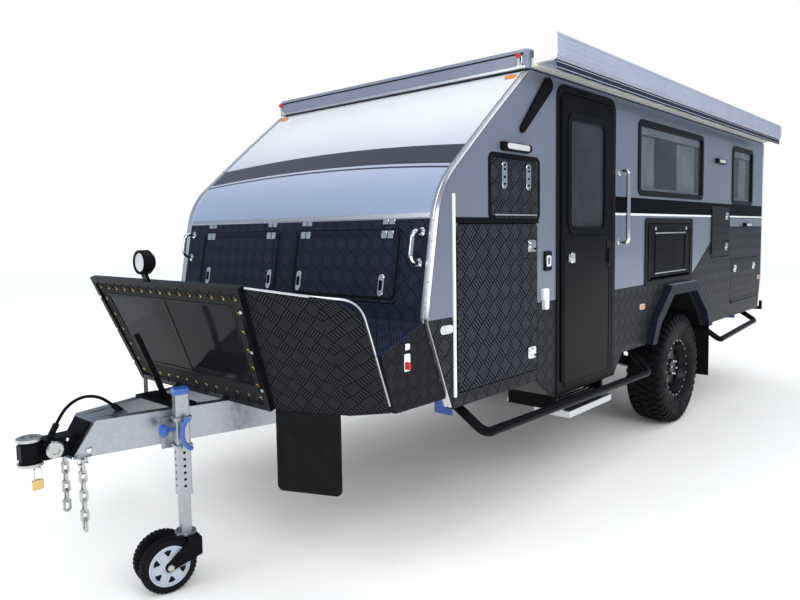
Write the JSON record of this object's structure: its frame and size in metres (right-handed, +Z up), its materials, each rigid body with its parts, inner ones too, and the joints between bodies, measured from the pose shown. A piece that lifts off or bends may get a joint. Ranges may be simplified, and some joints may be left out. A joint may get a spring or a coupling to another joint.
{
  "type": "touring caravan",
  "caption": "Off-road touring caravan with a lifting roof, curved nose, stone guard, toolbox, entry door, hatches, awning, jockey wheel and corner steadies.",
  "frame": {"origin": "on the ground under the middle of the overall box, parked on its wheels and jockey wheel", "axes": "+X forward to the coupling, +Y to the door side, +Z up"},
  "size_m": [6.927, 2.349, 2.574],
  "materials": {
    "galvanised": "satin",
    "chain": "satin",
    "running_gear": "satin",
    "lead": "matt",
    "fittings": "matt",
    "tyre": "matt",
    "rim": "satin",
    "jockey_hub": "satin",
    "floor": "matt",
    "shell": "gloss",
    "nose_upper": "gloss",
    "nose_lower": "satin",
    "hatch": "satin",
    "door": "satin",
    "frames": "satin",
    "glass": "gloss",
    "arch": "satin",
    "lid": "gloss",
    "skirt": "matt",
    "awning": "satin",
    "awning_roll": "satin",
    "checker_plate": "satin",
    "guard": "satin",
    "mesh": "matt",
    "flap": "matt",
    "lamp": "gloss",
    "chrome": "gloss",
    "step": "satin",
    "steady": "satin"
  },
  "bodies": {
    "trailer": {"chassis_frame": "galvanised", "axle": "running_gear", "coupling": "galvanised", "safety_chains": "chain", "wiring_lead": "lead", "lead_fittings": "fittings", "brake_lever": "galvanised", "jockey_clamp": "galvanised", "cabin_floor": "floor", "wall_left": "shell", "wall_right": "shell", "front_lower_panel": "nose_lower", "front_upper_panel": "nose_upper", "wall_rear": "shell", "opening_frames": "frames", "window_panes": "glass", "wheel_tubs": "arch", "wheel_flares": "arch", "cabin_fitout": "floor", "roof_skirt": "skirt", "toolbox": "checker_plate", "guard_frame": "guard", "guard_mesh": "mesh", "guard_wings": "checker_plate", "mud_flaps": "flap", "work_light": "lamp", "side_rails": "running_gear", "rear_bumper": "running_gear", "lamps": "lamp", "grab_handles": "chrome", "step_runners": "running_gear"},
    "wheel_left": {"tyre_left": "tyre", "rim_left": "rim"},
    "wheel_right": {"tyre_right": "tyre", "rim_right": "rim"},
    "jockey_leg": {"jockey_leg": "galvanised"},
    "jockey_stem": {"jockey_stem": "galvanised"},
    "jockey_fork": {"jockey_fork": "galvanised"},
    "jockey_wheels": {"jockey_tyres": "tyre", "jockey_hubs": "jockey_hub"},
    "entry_door": {"entry_door": "door", "door_glass": "glass"},
    "roof": {"roof_lid": "lid", "awning_rail": "awning", "awning_case": "awning_roll", "awning_caps": "awning"},
    "boot_door_left": {"boot_door_left": "hatch"},
    "boot_door_right": {"boot_door_right": "hatch"},
    "upper_hatch": {"upper_hatch": "hatch"},
    "slim_hatch": {"slim_hatch": "hatch"},
    "rear_hatch": {"rear_hatch": "hatch"},
    "table_leaf": {"table_leaf": "hatch"},
    "front_hatch_left": {"front_hatch_left": "nose_lower"},
    "front_hatch_right": {"front_hatch_right": "nose_lower"},
    "toolbox_lid": {"toolbox_lid": "checker_plate"},
    "entry_step": {"entry_step": "step"},
    "steady_front_left": {"steady_front_left": "steady"},
    "steady_front_right": {"steady_front_right": "steady"},
    "steady_rear_left": {"steady_rear_left": "steady"},
    "steady_rear_right": {"steady_rear_right": "steady"}
  },
  "joints": [
    {"name": "wheel_left_spin", "type": "hinge", "parent": "trailer", "child": "wheel_left", "pos_m": [-0.9835, 0.8995, 0.43], "axis": [0, 1, 0], "continuous": true},
    {"name": "wheel_right_spin", "type": "hinge", "parent": "trailer", "child": "wheel_right", "pos_m": [-0.9835, -0.9605, 0.43], "axis": [0, 1, 0], "continuous": true},
    {"name": "jockey_swing", "type": "hinge", "parent": "trailer", "child": "jockey_leg", "pos_m": [2.9005, 0.25469, 0.657], "axis": [-0.2521, -0.9677, 0], "range_deg": [-90, 0]},
    {"name": "jockey_wind", "type": "slide", "parent": "jockey_leg", "child": "jockey_stem", "axis": [0, 0, 1], "range_m": [0, 0.163]},
    {"name": "jockey_castor", "type": "hinge", "parent": "jockey_stem", "child": "jockey_fork", "pos_m": [2.9005, 0.25469, 0.232], "axis": [0, 0, 1], "continuous": true},
    {"name": "jockey_roll", "type": "hinge", "parent": "jockey_fork", "child": "jockey_wheels", "pos_m": [2.99342, 0.23494, 0.12], "axis": [0.2079, 0.9781, 0], "continuous": true},
    {"name": "entry_door_swing", "type": "hinge", "parent": "trailer", "child": "entry_door", "pos_m": [0.9265, 1.0335, 0.576], "axis": [0, 0, -1], "range_deg": [0, 165]},
    {"name": "boot_door_left_swing", "type": "hinge", "parent": "trailer", "child": "boot_door_left", "pos_m": [1.9035, 1.0255, 0.768], "axis": [0, 0, -1], "range_deg": [0, 110]},
    {"name": "boot_door_right_swing", "type": "hinge", "parent": "trailer", "child": "boot_door_right", "pos_m": [1.9035, -1.0865, 0.768], "axis": [0, 0, 1], "range_deg": [0, 110]},
    {"name": "upper_hatch_fold", "type": "hinge", "parent": "trailer", "child": "upper_hatch", "pos_m": [1.1725, 1.0255, 1.606], "axis": [1, 0, 0], "range_deg": [-95, 0]},
    {"name": "slim_hatch_swing", "type": "hinge", "parent": "trailer", "child": "slim_hatch", "pos_m": [-1.7235, 1.0255, 1.275], "axis": [0, 0, -1], "range_deg": [0, 110]},
    {"name": "rear_hatch_fold", "type": "hinge", "parent": "trailer", "child": "rear_hatch", "pos_m": [-3.1835, 1.0255, 0.832], "axis": [-1, 0, 0], "range_deg": [0, 95]},
    {"name": "table_fold", "type": "hinge", "parent": "trailer", "child": "table_leaf", "pos_m": [-1.2485, 1.0335, 1.164], "axis": [-1, 0, 0], "range_deg": [0, 90]},
    {"name": "front_hatch_left_lift", "type": "hinge", "parent": "trailer", "child": "front_hatch_left", "pos_m": [2.04705, 0.425, 1.55745], "axis": [0, -1, 0], "range_deg": [0, 85]},
    {"name": "front_hatch_right_lift", "type": "hinge", "parent": "trailer", "child": "front_hatch_right", "pos_m": [2.04705, -0.486, 1.55745], "axis": [0, -1, 0], "range_deg": [0, 85]},
    {"name": "toolbox_lid_lift", "type": "hinge", "parent": "trailer", "child": "toolbox_lid", "pos_m": [2.13628, -0.0305, 1.1302], "axis": [0, -1, 0], "range_deg": [0, 70]},
    {"name": "steady_front_left_drop", "type": "hinge", "parent": "trailer", "child": "steady_front_left", "pos_m": [1.1965, 0.8195, 0.655], "axis": [0, 1, 0], "range_deg": [0, 75]},
    {"name": "steady_front_right_drop", "type": "hinge", "parent": "trailer", "child": "steady_front_right", "pos_m": [1.1965, -0.8805, 0.655], "axis": [0, 1, 0], "range_deg": [0, 75]},
    {"name": "steady_rear_left_drop", "type": "hinge", "parent": "trailer", "child": "steady_rear_left", "pos_m": [-2.4035, 0.8195, 0.655], "axis": [0, -1, 0], "range_deg": [0, 75]},
    {"name": "steady_rear_right_drop", "type": "hinge", "parent": "trailer", "child": "steady_rear_right", "pos_m": [-2.4035, -0.8805, 0.655], "axis": [0, -1, 0], "range_deg": [0, 75]},
    {"name": "entry_step_slide", "type": "slide", "parent": "trailer", "child": "entry_step", "axis": [0, 1, 0], "range_m": [0, 0.25]},
    {"name": "roof_lift", "type": "slide", "parent": "trailer", "child": "roof", "axis": [0, 0, 1], "range_m": [0, 0.4], "deforming": ["roof_skirt"]}
  ]
}
